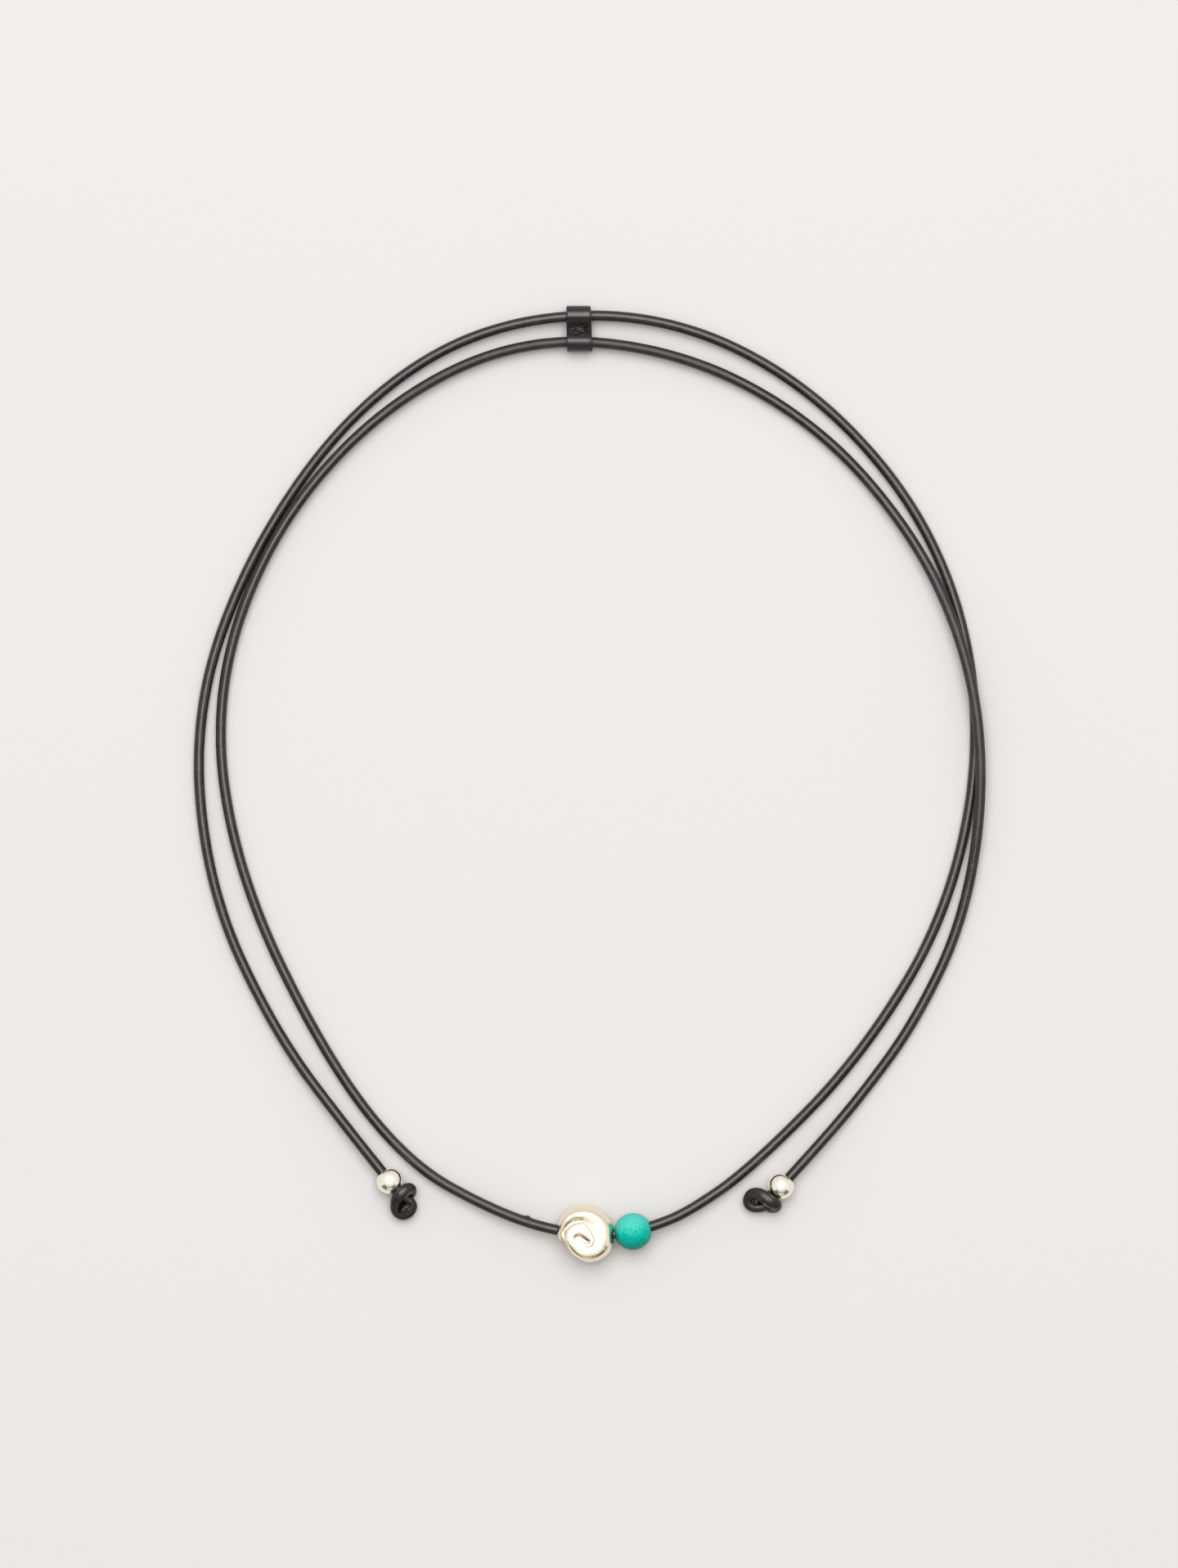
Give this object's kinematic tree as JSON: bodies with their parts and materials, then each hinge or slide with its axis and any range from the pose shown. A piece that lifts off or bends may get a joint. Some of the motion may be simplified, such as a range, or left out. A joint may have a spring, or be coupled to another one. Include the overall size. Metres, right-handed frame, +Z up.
{
  "type": "cord necklace",
  "caption": "Adjustable round leather cord necklace, doubled through a leather slider, with a silver spiral bead, a turquoise bead, silver ball ends and knots, lying flat.",
  "frame": {"origin": "on the surface that the necklace lies on, midway between the slider and the spiral bead and midway between the two ball beads", "axes": "+Y from the spiral bead towards the slider, +Z up from the surface, +X towards the turquoise bead's side"},
  "size_m": [0.1512, 0.1825, 0.007],
  "materials": {
    "cord_leather": "black round leather cord, satin, fine grain and small pits",
    "slider_leather": "black leather strip, satin, grained and crumpled where it is pinched",
    "silver": "polished warm silver",
    "turquoise_stone": "satin polished turquoise stone, finely speckled"
  },
  "bodies": {
    "root": {"cord": "cord_leather", "slider": "slider_leather", "spiral_bead": "silver", "turquoise_bead": "turquoise_stone", "left_ball_bead": "silver", "right_ball_bead": "silver", "left_knot": "cord_leather", "right_knot": "cord_leather"}
  },
  "joints": []
}
